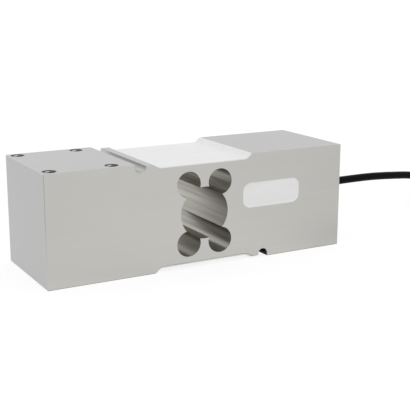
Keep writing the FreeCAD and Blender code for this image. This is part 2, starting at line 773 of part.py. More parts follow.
def make_tie(name, angle, coil):
    """A tie round the bundle: a flat band with its head on the outer side."""
    band = new_body(f"{name}_band")
    band.Placement = FreeCAD.Placement(Vector(), FreeCAD.Rotation(Vector(0, 0, 1), angle))
    bind(band, Placement__Base__x=COIL_X, Placement__Base__y=COIL_Y)
    sketch = sketch_on(band, f"{name}_section", "XZ_Plane")
    draw_outline(sketch, around_bundle("tie_thickness"))
    extrude(band, "Pad", f"{name}_loop", sketch, "tie_width")
    sketch = sketch_on(band, f"{name}_head_outline", "XZ_Plane")
    side, low = f"coil_mean_radius + {BUNDLE} / 2 + tie_thickness / 2", f"{BUNDLE_Z} - tie_head / 2"
    draw_outline(
        sketch,
        [(side, low), (f"{side} + tie_head", low), (f"{side} + tie_head", f"{low} + tie_head"),
         (side, f"{low} + tie_head")],
    )
    extrude(band, "Pad", f"{name}_head", sketch, "tie_head")
    return cut(name, band, [coil])


def on_coil(angle, radius, height):
    """A place on the coil: its angle about the coil's centre, its distance from it and its height."""
    turn = math.radians(angle)
    return Vector(number(COIL_X) + radius * math.cos(turn), number(COIL_Y) + radius * math.sin(turn), height)


def swept_about_coil(name, angle, sweep, radii, height):
    """A round rod, or a tube where there are two radii, that follows the coil on its mean radius."""
    centre = on_coil(angle, number("coil_mean_radius"), height)
    axis = Vector(number(COIL_X), number(COIL_Y), 0)
    normal = Vector(0, 0, 1).cross(centre - axis)
    circles = [Part.Wire(Part.Circle(centre, normal, radius).toShape()) for radius in radii]
    section = Part.makeFace(circles, "Part::FaceMakerBullseye")
    return feature_with(name, section.revolve(axis, Vector(0, 0, 1), sweep))


# Each lead's place in the cable, outwards and up, and its place in the row in which the leads lie.
LAID_LEADS = {
    "red": (-1, 1, -2), "black": (-1, -1, -1), "shield": (0, 0, 0), "green": (1, -1, 1), "white": (1, 1, 2),
}


def make_cable_end():
    """The cable's last stretch on top of the coil, the sleeve over its stripped end, its leads and tips."""
    radius, height = number("cable_diameter / 2"), number(f"{COIL_TOP} + sleeve_wall + cable_diameter / 2")
    start, tail = number("tail_start_angle"), number("tail_angle")
    stripped, overhang = start + tail, number("sleeve_overhang_angle")
    pieces = [
        swept_about_coil("cable_tail", start, tail, [radius], height),
        swept_about_coil(
            "cable_end_sleeve", stripped + overhang - number("sleeve_angle"), number("sleeve_angle"),
            [radius + number("sleeve_wall"), radius], height,
        ),
    ]
    half_pitch, spread = number("core_pitch / 2"), number("lead_spread")
    mean, lead_end = number("coil_mean_radius"), stripped + number("lead_angle")
    tips = []
    for colour, (dr, dz, place) in LAID_LEADS.items():
        diameter = number("drain_diameter" if colour == "shield" else "core_diameter")
        inside = mean + dr * half_pitch, height + dz * half_pitch
        flat = mean + place * spread, number(COIL_TOP) + diameter / 2
        route = [on_coil(stripped, *inside)]
        outwards = on_coil(stripped, 1, 0) - on_coil(stripped, 0, 0)
        route.append(route[0] + Vector(0, 0, 1).cross(outwards) * mean * math.radians(overhang))
        fan = (lead_end - stripped - overhang) / 4
        route += [on_coil(lead_end - fan * step, *flat) for step in (2.5, 1.5, 0.7, 0)]
        pieces.append(wires(f"{colour}_lead", [route], diameter))
        last = (route[-1] - route[-2]).normalize()
        tip_length = number("tip_angle") * math.pi / 180 * mean
        tips.append(Part.makeCylinder(min(diameter, number("tip_diameter")) / 2, tip_length, route[-1], last))
    pieces.append(feature_with("lead_tips", Part.makeCompound(tips)))
    return pieces


def make_cable_run(coil):
    """The free stretch from the bore's mouth to the coil, where it ends against the coil's side."""
    mouth = Vector(number("block_length / 2"), number(BORE_Y), 0)
    points = [mouth + Vector(x, y, number(CABLE_Z) if z is None else z) for x, y, z in CABLE_ROUTE]
    path, radii = rounded_path(points)
    print("cable_run radii:", *(round(radius) for radius in radii))
    return cut("cable_run", feature_with("cable_run_whole", tube(path, number("cable_diameter"))), [coil])


# The whole cell


def check(pieces):
    """Stops where an object failed or a piece has no sound solid."""
    failed = [thing.Name for thing in document.Objects if {"Invalid", "Error"} & set(thing.State)]
    unsound = [
        piece.Label for piece in pieces
        if piece.Shape.isNull() or not piece.Shape.isValid() or not piece.Shape.Solids
    ]
    if failed or unsound:
        raise RuntimeError(f"failed: {failed}; unsound: {unsound}")


def make_load_cell():
    """Every piece of the cell, each one a node."""
    body = make_spring_body()
    pieces, signal_wires = [body], []
    for side, out in (("upper", 1), ("lower", -1)):
        covered = [
            *make_gauges(side, out), make_terminal_strip(side, out),
            make_gauge_leads(side, out), make_signal_wires(side, out),
        ]
        signal_wires.append(covered[-1])
        pieces += [*covered, make_gauge_sealant(side, out, covered)]
    entry = make_cable_entry()
    in_pocket = [*make_board(), *make_cores(), entry[0], entry[2]]
    pieces += [*in_pocket, entry[1], make_pocket_sealant(in_pocket + signal_wires)]
    coil = make_coil()
    document.recompute()
    ties = [make_tie(f"coil_tie_{i}", angle, coil) for i, angle in enumerate(TIE_ANGLES, start=1)]
    pieces += [make_cable_run(coil), coil, *ties, *make_cable_end()]
    document.recompute()
    return pieces


fill_sheet()
nodes = make_load_cell()
check(nodes)
os.makedirs("parts", exist_ok=True)
for node in nodes:
    node.Shape.exportStep(os.path.join("parts", f"{node.Label}.step"))
print(len(nodes), "nodes")
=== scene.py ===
"""Looks of the single point load cell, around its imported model.

Everything is in metres, in the row frame: the origin is at the bottom centre of the aluminium block,
+X points to the cable's end, -Y to the face with the pocket, and +Z up.
"""

import math

import bmesh
import bpy
from mathutils import Matrix, Vector, noise


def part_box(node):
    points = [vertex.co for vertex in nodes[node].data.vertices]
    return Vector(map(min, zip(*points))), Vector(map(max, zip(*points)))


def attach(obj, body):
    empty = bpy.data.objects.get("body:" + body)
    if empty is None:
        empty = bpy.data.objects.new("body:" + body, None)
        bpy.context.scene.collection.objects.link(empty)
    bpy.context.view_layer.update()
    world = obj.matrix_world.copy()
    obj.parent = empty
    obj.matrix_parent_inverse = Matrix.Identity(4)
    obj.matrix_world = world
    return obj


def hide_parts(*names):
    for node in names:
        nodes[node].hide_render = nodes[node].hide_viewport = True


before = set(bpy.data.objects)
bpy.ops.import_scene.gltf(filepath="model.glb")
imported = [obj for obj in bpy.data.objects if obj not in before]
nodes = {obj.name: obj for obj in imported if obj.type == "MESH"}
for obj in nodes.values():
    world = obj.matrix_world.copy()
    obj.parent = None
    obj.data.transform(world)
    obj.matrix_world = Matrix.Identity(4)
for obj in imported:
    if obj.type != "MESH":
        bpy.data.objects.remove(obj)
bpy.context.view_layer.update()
MM = 0.001
scene = bpy.context.scene
block_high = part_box("load_cell_body")[1]
coil_low, coil_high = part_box("cable_coil")
UP = Vector((0, 0, 1))


# Camera: it looks down a little on the front and left faces of the block.

CAMERA_AIM = Vector((17.9, 0, 27.4)) * MM
CAMERA_DISTANCE = 571.3 * MM
CAMERA_AZIMUTH = math.radians(29.163)
CAMERA_DIP = math.radians(13.625)
CAMERA_ROLL = math.radians(0.117)
CAMERA_LENS = 82.06


def make_camera():
    data = bpy.data.cameras.new("camera")
    data.lens = CAMERA_LENS
    data.clip_start, data.clip_end = 0.01, 20
    camera = bpy.data.objects.new("camera", data)
    scene.collection.objects.link(camera)
    level = Vector((math.sin(CAMERA_AZIMUTH), math.cos(CAMERA_AZIMUTH), 0)) * math.cos(CAMERA_DIP)
    ahead = level - UP * math.sin(CAMERA_DIP)
    right = Vector((math.cos(CAMERA_AZIMUTH), -math.sin(CAMERA_AZIMUTH), 0))
    turned = Matrix((right, right.cross(ahead), -ahead)).transposed().to_4x4()
    place = Matrix.Translation(CAMERA_AIM - ahead * CAMERA_DISTANCE)
    camera.matrix_world = place @ turned @ Matrix.Rotation(CAMERA_ROLL, 4, "Z")
    scene.camera = camera


make_camera()


# Cable: from the bore's mouth down to the floor, wound into the coil, and its end on top of the coil.

CABLE = 4.8 * MM
BORE_MOUTH = Vector((95.5, -23.75, 38.6)) * MM

# The free run's control points: X from the end face and Y from the bore's axis, Z above the floor.
FREE_RUN = [
    (0.0, 0.0, 38.6),
    (16.5, 0.0, 38.85),
    (33.5, 0.0, 38.7),
    (50.5, -0.1, 37.6),
    (65.5, -0.3, 36.4),
    (80.5, -0.8, 32.0),
    (94.5, -1.5, 23.6),
    (106.5, -2.2, 14.0),
    (118.5, -2.8, 6.8),
    (130.5, -3.3, 3.6),
    (140.5, -3.35, 3.4),
]
TURN_POINTS = 24
LANES = 4  # turns side by side, and layers on each other
LANE_SHIFT = math.radians(215), math.radians(245)  # where every turn moves one lane over
FIRST_ANGLE = math.radians(-90)
CLIMB_START, CLIMB_TOP = math.radians(-15), math.radians(18)
DRIFT_START = CLIMB_TOP - math.radians(10)  # where the end starts to move inwards on the top layer
TAIL_START, TAIL_END = math.radians(42), math.radians(92)
LAYER_BULGE = 0.35  # how far a turn leans aside where it climbs a layer, in cable diameters

coil_centre = (coil_low + coil_high) / 2
mean_radius = (coil_high.x - coil_low.x) / 2 - LANES / 2 * CABLE
tail_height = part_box("cable_tail")[0].z + CABLE / 2


def eased(share):
    """0 to 1 with a level start and end."""
    share = min(max(share, 0), 1)
    return share * share * (3 - 2 * share)


def lane_radius(lane):
    """The axis radius of a lane; lane 0 is the outer one."""
    return mean_radius + ((LANES - 1) / 2 - lane) * CABLE


def layer_height(layer):
    return coil_low.z + (layer + 0.5) * CABLE


def lane_of_turn(turn):
    """The lane and the layer of a whole turn: inwards in one layer, outwards in the next."""
    layer, place = divmod(turn, LANES)
    return (place if layer % 2 == 0 else LANES - 1 - place), layer


def on_coil(angle, radius, height):
    """A place on the coil: its angle about the coil's centre, its distance from it and its height."""
    x, y = coil_centre.x + radius * math.cos(angle), coil_centre.y + radius * math.sin(angle)
    return Vector((x, y, height))


def on_turns(angle):
    """The radius and height of the wound cable at an angle counted on from the first turn's start."""
    turn, within = divmod(angle - FIRST_ANGLE, 2 * math.pi)
    start, end = (edge - FIRST_ANGLE for edge in LANE_SHIFT)
    moved = eased((within - start) / (end - start))
    lane, layer = lane_of_turn(int(turn))
    next_lane, next_layer = lane_of_turn(int(turn) + 1)
    radius = lane_radius(lane) + moved * (lane_radius(next_lane) - lane_radius(lane))
    height = layer_height(layer) + moved * (layer_height(next_layer) - layer_height(layer))
    if next_layer != layer:
        side = 1 if lane == 0 else -1
        radius += side * LAYER_BULGE * CABLE * math.sin(math.pi * moved)
    return radius, height


def on_top(angle):
    """The radius and height where the cable leaves the last turn, climbs the top layer and lies on it."""
    radius, height = lane_radius(0), layer_height(LANES - 1)
    climbed = eased((angle - CLIMB_START) / (CLIMB_TOP - CLIMB_START))
    inwards = eased((angle - DRIFT_START) / (TAIL_START - DRIFT_START))
    return radius + inwards * (mean_radius - radius), height + climbed * (tail_height - height)


def cable_points():
    """The control points of the whole cable: the free run, the turns, and the end on top of the coil."""
    points = [Vector((BORE_MOUTH.x + x * MM, BORE_MOUTH.y + y * MM, z * MM)) for x, y, z in FREE_RUN]
    step = 2 * math.pi / TURN_POINTS
    outward = 8 / (6 + 2 * math.cos(step))  # the line passes inside its control points by this much
    whole = (LANES * LANES - 1) * 2 * math.pi
    last = whole + TAIL_END
    angle = FIRST_ANGLE
    while angle < last - step / 2:
        radius, height = on_turns(angle) if angle < whole + CLIMB_START else on_top(angle - whole)
        radius *= outward
        points.append(on_coil(angle, radius, height))
        angle += step
    points.append(on_coil(TAIL_END, mean_radius, tail_height))
    return points


def spline_object(name, points, radius, bevel_resolution=5):
    """A round tube along one open NURBS spline, closed at its ends."""
    data = bpy.data.curves.new(name, "CURVE")
    data.dimensions = "3D"
    spline = data.splines.new("NURBS")
    spline.points.add(len(points) - 1)
    for place, point in zip(spline.points, points):
        place.co = (*point, 1)
    spline.order_u = 3
    spline.use_endpoint_u = True
    data.resolution_u = 6
    data.bevel_depth = radius
    data.bevel_resolution = bevel_resolution
    data.use_fill_caps = True
    thing = bpy.data.objects.new(name, data)
    scene.collection.objects.link(thing)
    return thing


# Meshes. A shell is a pair of its points and its faces, and an object has one shell or more.


def mesh_object(name, shells, crease=40):
    """A smooth object of closed shells, with sharp edges where faces meet at more than the crease angle."""
    built = bmesh.new()
    for points, faces in shells:
        corners = [built.verts.new(point) for point in points]
        for face in faces:
            built.faces.new([corners[index] for index in face])
    bmesh.ops.recalc_face_normals(built, faces=built.faces)
    data = bpy.data.meshes.new(name)
    built.to_mesh(data)
    built.free()
    data.shade_smooth()
    data.set_sharp_from_angle(angle=math.radians(crease))
    thing = bpy.data.objects.new(name, data)
    scene.collection.objects.link(thing)
    return thing


def loft(rings, loop=False):
    """A shell through closed rings of equally many points, capped unless the last ring meets the first."""
    size, count = len(rings[0]), len(rings)
    faces = []
    for row in range(count if loop else count - 1):
        low, high = row * size, (row + 1) % count * size
        for place in range(size):
            after = (place + 1) % size
            faces.append((low + place, low + after, high + after, high + place))
    if not loop:
        faces += [tuple(reversed(range(size))), tuple(range((count - 1) * size, count * size))]
    return [point for ring in rings for point in ring], faces


def circle(centre, across, up, radius, sides):
    """Points round a centre, from the first direction towards the second."""
    turns = (2 * math.pi * side / sides for side in range(sides))
    return [centre + radius * (math.cos(turn) * across + math.sin(turn) * up) for turn in turns]


def rod(line, radius, sides=8):
    """A round rod along a line of points that nowhere turns sharply."""
    rings = []
    for place, point in enumerate(line):
        along = (line[min(place + 1, len(line) - 1)] - line[max(place - 1, 0)]).normalized()
        across = along.cross(UP).normalized()
        rings.append(circle(point, across, across.cross(along), radius, sides))
    return loft(rings)


cable = spline_object("signal_cable", cable_points(), CABLE / 2)


# Pieces on the cable: two ties, and on top of the coil the sleeve, the leads and their tinned tips.

BUNDLE = LANES * CABLE
TIE_ANGLES = math.radians(-25), math.radians(185)
TIE_THICKNESS, TIE_WIDTH, TIE_HEAD = 1.0 * MM, 2.6 * MM, 4.2 * MM
TIE_SECTION = [  # outwards and across, in millimetres: a strap with a shallow channel in its outer face
    (-0.5, -1.1), (-0.35, -1.3), (0.3, -1.3), (0.5, -1.15), (0.5, -0.85), (0.36, -0.7),
    (0.36, 0.7), (0.5, 0.85), (0.5, 1.15), (0.3, 1.3), (-0.35, 1.3), (-0.5, 1.1),
]
TIE_BEND, BEND_STEPS = 1.4 * MM, 5  # how far from a corner the strap starts to bend
HEAD_EDGE, LID_SUNK = 0.5 * MM, 0.8  # the head's rounded edges, and its lid's depth as a share of them
TAIL_STEPS, TAIL_STEP, TOOTH = 15, 0.25 * MM, 0.12 * MM  # every second step stands back by a tooth
# How far below the head's top the tail starts, and its two faces' distances from the head's middle.
TAIL_START_DEPTH, TAIL_OUTER, TAIL_INNER = 0.9 * MM, 0.4 * MM, 0.5 * MM
# The sleeve's outside: angles about the coil in degrees, and radii in millimetres, like its wall.
SLEEVE_PROFILE = [
    (68.0, 2.66), (68.4, 2.79), (69.2, 2.8), (74.0, 2.78), (80.0, 2.79), (86.0, 2.78), (90.5, 2.79),
    (92.0, 2.74), (93.5, 2.56), (95.0, 2.42), (96.5, 2.36), (97.6, 2.37), (98.0, 2.28),
]
SLEEVE_WALL, SLEEVE_SIDES, SLEEVE_CREASES = 0.3, 32, 0.05 * MM
OVERHANG = math.radians(6)  # how far the leads run straight on from the jacket's end
LEAD_END = math.radians(154)
LEAD_STEPS = 2.5, 1.5, 0.7, 0  # where a lead's points lie, in quarters of its way back from its end
LEAD_SPREAD = 2.0 * MM
CORE, DRAIN = 1.1 * MM, 0.7 * MM
TIP_LENGTH, TIP_ROOT = 5.97 * MM, 0.4 * MM  # the bare length, and its start inside the insulation
CUT_SHORT, CUT_UNEVEN = 0.1 * MM, 0.05 * MM  # how much shorter the outer strands are, and their steps
STRAND, STRANDS, STRAND_STEPS, STRAND_TWIST = 0.13 * MM, 6, 12, 0.8
# Each lead's place in the cable, outwards and up in millimetres, and its place in the row of laid leads.
LAID_LEADS = {
    "red": (-1, 1, -2), "black": (-1, -1, -1), "shield": (0, 0, 0), "green": (1, -1, 1), "white": (1, 1, 2),
}


def tie_line(gap, full):
    """The strap's way round the bundle's section: outwards from the mean radius, up, and the side it faces.

    Where the bundle isn't full, its outer top place is empty, and the strap cuts that corner.
    """
    half = BUNDLE / 2 + gap
    flat = half - (CABLE / 2 + gap) * (2 - math.sqrt(2))
    over = flat if full else flat - CABLE
    corners = [
        (half, -flat), (half, over), (over, half), (-flat, half),
        (-half, flat), (-half, -flat), (-flat, -half), (flat, -half),
    ]
    line = []
    for place, corner in enumerate(corners):
        here = Vector(corner)
        before, after = Vector(corners[place - 1]), Vector(corners[(place + 1) % len(corners)])
        start = here + (before - here).normalized() * TIE_BEND
        end = here + (after - here).normalized() * TIE_BEND
        for step in range(BEND_STEPS + 1):
            share = step / BEND_STEPS
            spot = (1 - share) ** 2 * start + 2 * share * (1 - share) * here + share ** 2 * end
            way = (here - start) * (1 - share) + (end - here) * share
            line.append((spot, Vector((way.y, -way.x)).normalized()))
    return line


def bevelled_box(low, high, edge):
    """A box with rounded edges and a sunk top."""
    built = bmesh.new()
    bmesh.ops.create_cube(built, size=1)
    for corner in built.verts:
        corner.co = Vector(low[k] + (corner.co[k] + 0.5) * (high[k] - low[k]) for k in range(3))
    bmesh.ops.bevel(built, geom=built.edges[:], offset=edge, segments=3, profile=0.5, affect="EDGES")
    lid = max(built.faces, key=lambda face: face.calc_center_median().z)
    bmesh.ops.inset_region(built, faces=[lid], thickness=edge)
    bmesh.ops.translate(built, verts=lid.verts[:], vec=(0, 0, -edge * LID_SUNK))
    built.verts.index_update()
    points = [corner.co.copy() for corner in built.verts]
    faces = [[corner.index for corner in face.verts] for face in built.faces]
    built.free()
    return points, faces


def tie(name, angle, full):
    """A cable tie: its strap round the bundle, its head on the outer side, and its tail, cut short above."""
    outwards = on_coil(angle, 1, 0) - on_coil(angle, 0, 0)
    across = UP.cross(outwards)
    middle = on_coil(angle, mean_radius, coil_low.z + BUNDLE / 2)
    rings = []
    for spot, side in tie_line(TIE_THICKNESS / 2, full):
        facing = side.x * outwards + side.y * UP
        rings.append([
            middle + spot.x * outwards + spot.y * UP + out * MM * facing + aside * MM * across
            for out, aside in TIE_SECTION
        ])
    strap = loft(rings, loop=True)
    near = BUNDLE / 2 + TIE_THICKNESS / 2
    half = TIE_HEAD / 2
    corners, faces = bevelled_box((near, -half, -half), (near + TIE_HEAD, half, half), HEAD_EDGE)
    head = [middle + x * outwards + y * across + z * UP for x, y, z in corners], faces
    tail_rings = []
    for step in range(TAIL_STEPS):
        tooth = TOOTH if step % 2 else 0
        height = half - TAIL_START_DEPTH + step * TAIL_STEP
        tail_rings.append([
            middle + (near + half + out) * outwards + aside * across + height * UP
            for out, aside in (
                (TAIL_OUTER, -TIE_WIDTH / 2), (TAIL_OUTER, TIE_WIDTH / 2),
                (tooth - TAIL_INNER, TIE_WIDTH / 2), (tooth - TAIL_INNER, -TIE_WIDTH / 2),
            )
        ])
    return mesh_object(name, [strap, head, loft(tail_rings)])


def sleeve():
    """Heat-shrink tube: it lies close on the jacket and draws in over the leads behind the jacket's end."""
    inside = [(degrees, radius - SLEEVE_WALL) for degrees, radius in reversed(SLEEVE_PROFILE)]
    rings = []
    for degrees, radius in SLEEVE_PROFILE + inside:
        angle = math.radians(degrees)
        centre = on_coil(angle, mean_radius, tail_height)
        outwards = (centre - on_coil(angle, 0, tail_height)).normalized()
        rings.append([
            point + (point - centre).normalized() * SLEEVE_CREASES * (noise.noise(point * 700) - 0.5)
            for point in circle(centre, outwards, UP, radius * MM, SLEEVE_SIDES)
        ])
    return mesh_object("end_sleeve", [loft(rings, loop=True)], crease=60)


def lead_points(outwards, up, place, diameter):
    """A lead's control points: out of the jacket, down onto the coil, and along it in its own lane."""
    across, height = mean_radius + outwards * MM, tail_height + up * MM
    first = on_coil(TAIL_END, across, height)
    ahead = UP.cross((first - on_coil(TAIL_END, 0, height)).normalized())
    points = [first, first + ahead * mean_radius * OVERHANG]
    quarter = (LEAD_END - TAIL_END - OVERHANG) / 4
    lane, low = mean_radius + place * LEAD_SPREAD, coil_high.z + diameter / 2
    return points + [on_coil(LEAD_END - quarter * step, lane, low) for step in LEAD_STEPS]


def tip_strands(end, ahead):
    """A bare end: tinned strands twisted round one in the middle, cut off nearly level."""
    across = ahead.cross(UP).normalized()
    shells = [rod([end - ahead * TIP_ROOT, end + ahead * TIP_LENGTH], STRAND)]
    for strand in range(STRANDS):
        line = []
        for step in range(STRAND_STEPS + 1):
            share = step / STRAND_STEPS
            turn = 2 * math.pi * (strand / STRANDS + STRAND_TWIST * share)
            away = 2 * STRAND * (math.cos(turn) * across + math.sin(turn) * UP)
            along = share * (TIP_LENGTH + TIP_ROOT - CUT_SHORT) - TIP_ROOT + CUT_UNEVEN * (strand % 3)
            line.append(end + away + ahead * along)
        shells.append(rod(line, STRAND))
    return shells


def cable_end():
    """The leads and their tips."""
    leads, shells = {}, []
    for colour, (outwards, up, place) in LAID_LEADS.items():
        diameter = DRAIN if colour == "shield" else CORE
        points = lead_points(outwards, up, place, diameter)
        leads[colour] = spline_object(f"{colour}_wire", points, diameter / 2, bevel_resolution=4)
        shells += tip_strands(points[-1], (points[-1] - points[-2]).normalized())
    return leads, mesh_object("tinned_tips", shells, crease=60)


ties = [tie("tie_1", TIE_ANGLES[0], full=True), tie("tie_2", TIE_ANGLES[1], full=False)]
end_sleeve = sleeve()
leads, tips = cable_end()


# Finishes. Each is a node material; its patterns are laid out in the object's own metres.


class Nodes:
    """A node tree that is built from code."""

    def __init__(self, tree):
        self.tree = tree

    def node(self, kind, *values, **settings):
        """A node with its first inputs set or linked."""
        node = self.tree.nodes.new(f"ShaderNode{kind}")
        for name, value in settings.items():
            setattr(node, name, value)
        for socket, value in zip(node.inputs, values):
            self.put(socket, value)
        return node

    def add(self, kind, *values, **settings):
        """The first output of such a node."""
        return self.node(kind, *values, **settings).outputs[0]

    def put(self, socket, value):
        if isinstance(value, bpy.types.NodeSocket):
            self.tree.links.new(value, socket)
        elif value is not None:
            socket.default_value = value

    def math(self, operation, *values):
        return self.add("Math", *values, operation=operation)

    def parts(self, vector):
        """The three parts of a vector."""
        return list(self.node("SeparateXYZ", vector).outputs)

    def inside(self, place, middle, half):
        """1 inside a box in the row frame."""
        off = self.add("VectorMath", place, middle, operation="SUBTRACT")
        x, y, z = self.parts(self.add("VectorMath", off, half, operation="DIVIDE"))
        furthest = self.math("ABSOLUTE", x)
        for part in (y, z):
            furthest = self.math("MAXIMUM", furthest, self.math("ABSOLUTE", part))
        return self.math("LESS_THAN", furthest, 1.0)


class Finish(Nodes):
    """A principled material whose colour, roughness and bump come from nodes."""

    def __init__(self, name, **constants):
        self.material = bpy.data.materials.new(name)
        self.material.use_nodes = True
        super().__init__(self.material.node_tree)
        self.shader = self.tree.nodes["Principled BSDF"]
        for socket, value in constants.items():
            self.shader.inputs[socket.replace("_", " ")].default_value = value

    def place(self, scale):
        """The object's coordinates in metres, times a scale along each axis."""
        return self.add("VectorMath", self.node("TexCoord").outputs["Object"], scale, operation="MULTIPLY")

    def noise(self, scale, detail=4.0, roughness=0.6):
        """0 to 1, with features of about one over the scale along each axis."""
        node = self.node("TexNoise", self.place(scale))
        for name, value in (("Scale", 1.0), ("Detail", detail), ("Roughness", roughness)):
            node.inputs[name].default_value = value
        return node.outputs["Fac"]

    def blend(self, first, second, share):
        """From the first colour or number to the second."""
        if any(isinstance(end, tuple) or getattr(end, "type", "") == "RGBA" for end in (first, second)):
            node = self.node("Mix", data_type="RGBA")
            start, end = (socket for socket in node.inputs if socket.type == "RGBA")
            self.put(start, first)
            self.put(end, second)
            self.put(node.inputs["Factor"], share)
            return next(socket for socket in node.outputs if socket.type == "RGBA")
        return self.add("MapRange", share, 0.0, 1.0, first, second)

    def facing(self, axis, at_least=0.9):
        """1 where the surface faces along the axis, either way."""
        normal = self.node("NewGeometry").outputs["Normal"]
        return self.math("GREATER_THAN", self.math("ABSOLUTE", self.parts(normal)[axis]), at_least)

    def run_along(self, direction):
        """The shader's tangent, laid along a direction."""
        self.put(self.shader.inputs["Tangent"], direction)

    def finish(self, colour, roughness, bump=None, depth=0.0):
        """Links the colour and the roughness, and the bump's height, of so many metres at 1."""
        self.put(self.shader.inputs["Base Color"], colour)
        self.put(self.shader.inputs["Roughness"], roughness)
        if bump is not None:
            node = self.node("Bump")
            node.inputs["Distance"].default_value = depth
            self.put(node.inputs["Height"], bump)
            self.put(self.shader.inputs["Normal"], node.outputs["Normal"])
        return self.material


def shade(colour, factor):
    """The colour, darker or lighter by a factor."""
    return (*(min(1.0, channel * factor) for channel in colour[:3]), 1.0)


def holes_painted_light(look, here):
    """The colour in the mounting holes, and 1 where they are: in the top at -X and in the bottom at +X.

    The holes are folded onto one axis. Their colour is painted light and shade: walls that face along Y get
    a painted highlight, and the rest and the sunk mouth get painted shade.
    """
    x, y, z = look.parts(here)
    from_middle = look.math("SUBTRACT", look.math("ABSOLUTE", x), HOLE_MIDDLE)
    from_hole = look.math("SUBTRACT", look.math("ABSOLUTE", from_middle), HOLE_SPACING / 2)
    aside = look.math("SUBTRACT", look.math("ABSOLUTE", y), HOLE_SIDE)
    squares = look.math("ADD", look.math("POWER", from_hole, 2.0), look.math("POWER", aside, 2.0))
    reach = look.math("SQRT", squares)
    above_middle = look.math("SUBTRACT", z, block_high.z / 2)
    drilled_end = look.math("LESS_THAN", look.math("MULTIPLY", x, above_middle), 0.0)
    tapped = look.math("MULTIPLY", look.math("LESS_THAN", reach, HOLE_MOUTH), drilled_end)
    across = look.math("DIVIDE", look.math("ABSOLUTE", aside), reach)
    glint = look.add("MapRange", across, *GLINT, interpolation_type="SMOOTHSTEP")
    # Painted highlight on the walls that face along Y, and painted shade on the rest and in the sunk mouth.
    wall = look.blend(shade(BORE_PAINTED_SHADE_TONE, HOLE_PAINTED_SHADE), shade(TOP_END_PAINTED_TONE, HOLE_PAINTED_HIGHLIGHT), glint)
    sunk = look.math("LESS_THAN", HOLE_WALL, reach)
    return look.blend(wall, shade(BORE_PAINTED_SHADE_TONE, MOUTH_PAINTED_SHADE), sunk), tapped


def aluminium():
    """Fine milled: marks along the sides and the top, upright on the ends, and round in the bores."""
    look = Finish("body_aluminium", Metallic=1.0, Anisotropic=HIGHLIGHT_STRETCH)
    side, end, top = look.facing(1), look.facing(0), look.facing(2)
    here = look.place((1, 1, 1))
    bored = look.inside(here, BORED_MIDDLE, BORED_HALF)
    along = look.noise((11, 480, 480), detail=7.0, roughness=0.7)
    upright = look.noise((480, 480, 14), detail=7.0, roughness=0.7)
    around = look.noise((40, 2200, 40), detail=4.0)
    flat = look.math("MAXIMUM", side, top)
    marks = look.blend(look.blend(around, along, flat), upright, end)
    streaks = look.noise((380, 7, 380), detail=5.0, roughness=0.75)
    cloud = look.noise((30, 30, 30), detail=2.0)
    tone = look.math("ADD", look.math("MULTIPLY", marks, 0.7), look.math("MULTIPLY", cloud, 0.3))
    # Painted light per face: the sides take one copy of the metal's colour, and the top, bottom and ends
    # another.
    side_painted_colour = look.blend(shade(SIDE_PAINTED_TONE, 0.93), shade(SIDE_PAINTED_TONE, 1.07), tone)
    top_end_painted_colour = look.blend(shade(TOP_END_PAINTED_TONE, 0.955), shade(TOP_END_PAINTED_TONE, 1.045), tone)
    colour = look.blend(side_painted_colour, top_end_painted_colour, look.math("MAXIMUM", top, end))
    # Painted shade and painted reflection in the bores: a darker, warmer copy of the metal, with tool-mark
    # streaks from half to one and a half times it, partly real marks and partly painted reflection.
    bore = look.blend(shade(BORE_PAINTED_SHADE_TONE, 0.5), shade(BORE_PAINTED_SHADE_TONE, 1.5), streaks)
    colour = look.blend(look.blend(colour, bore, bored), *holes_painted_light(look, here))
    roughness = look.blend(look.blend(0.36, 0.46, tone), look.blend(0.42, 0.25, streaks), bored)
    look.put(look.shader.inputs["Specular Tint"], look.blend(WHITE, EDGE_TINT, bored))
    look.run_along(look.blend(ALONG_X, ALONG_Y, bored))
    height = look.blend(marks, look.blend(streaks, around, 0.4), bored)
    return look.finish(colour, roughness, height, MARK_DEPTH)


def silicone():
    """Potting silicone, smoothed along the relief: white, satin, with faint smears."""
    look = Finish(
        "white_silicone", Specular_IOR_Level=0.35, Subsurface_Weight=0.12, Subsurface_Scale=0.6 * MM,
    )
    smears = look.noise((28, 260, 120), detail=4.0, roughness=0.65)
    grain = look.noise((900, 900, 900), detail=2.0)
    tone = look.math("ADD", look.math("MULTIPLY", smears, 0.8), look.math("MULTIPLY", grain, 0.2))
    colour = look.blend((0.785, 0.783, 0.778, 1.0), (0.9, 0.901, 0.9, 1.0), tone)
    return look.finish(colour, look.blend(0.38, 0.52, smears), tone, 0.05 * MM)


def jacket():
    """Black extruded jacket: satin, with faint lines along it and a little dust."""
    look = Finish("cable_jacket", Specular_IOR_Level=0.06, Sheen_Weight=0.05, Sheen_Roughness=0.35)
    grain = look.noise((420, 420, 420), detail=4.0)
    dust = look.noise((60, 60, 60), detail=3.0)
    colour = look.blend((0.0018, 0.0017, 0.0026, 1.0), (0.0042, 0.004, 0.0054, 1.0), dust)
    return look.finish(colour, look.blend(0.36, 0.5, grain), grain, 0.03 * MM)


def plastic(name, colour, roughness=(0.36, 0.5), grain=600, depth=0.01, **constants):
    """Plastic or rubber with a grain, so many millimetres deep, and a slight change of tone."""
    look = Finish(name, **constants)
    fine = look.noise((grain, grain, grain), detail=3.0)
    broad = look.noise((grain / 9, grain / 9, grain / 9), detail=2.0)
    tone = look.blend(shade(colour, 0.86), shade(colour, 1.14), broad)
    return look.finish(tone, look.blend(*roughness, fine), fine, depth * MM)


def metal(name, colour, roughness=(0.28, 0.42)):
    """Plated or drawn metal with fine marks."""
    look = Finish(name, Metallic=1.0)
    lines = look.noise((900, 900, 900), detail=4.0)
    tone = look.blend(shade(colour, 0.85), shade(colour, 1.1), lines)
    return look.finish(tone, look.blend(*roughness, lines), lines, 0.004 * MM)


